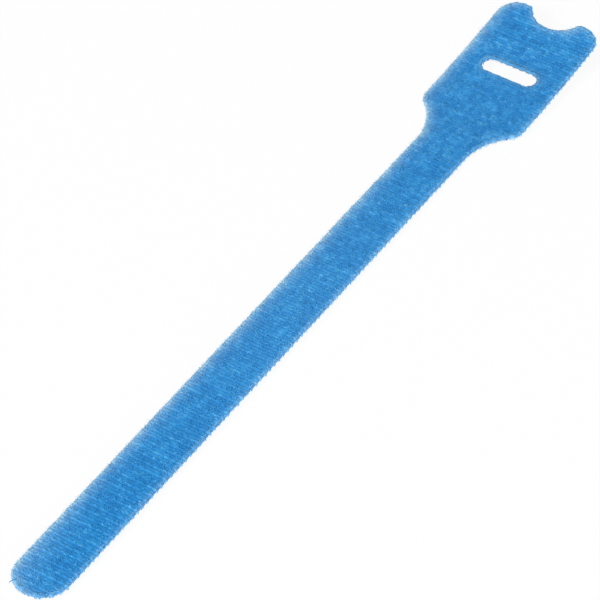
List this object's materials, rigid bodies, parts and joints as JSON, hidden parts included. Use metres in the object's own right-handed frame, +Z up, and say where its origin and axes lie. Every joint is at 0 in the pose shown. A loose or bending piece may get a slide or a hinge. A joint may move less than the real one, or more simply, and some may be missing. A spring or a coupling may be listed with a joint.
{
  "type": "hook and loop cable tie",
  "caption": "Flat reusable cable tie with a round tail and a slotted, notched head, a ribbed loop knit above and rows of moulded hooks below.",
  "frame": {"origin": "centre of the bounding box in plan, at the height of the hook tips that the tie lies on", "axes": "+X along the tie from the round tail to the notched head, +Z up out of the loop face"},
  "size_m": [0.1998, 0.0236, 0.004],
  "materials": {
    "hook_and_loop_web": "matt blue brushed loop knit with fine cross ribs, over blue moulded hooks"
  },
  "bodies": {
    "root": {"cable_tie": "hook_and_loop_web"}
  },
  "joints": []
}
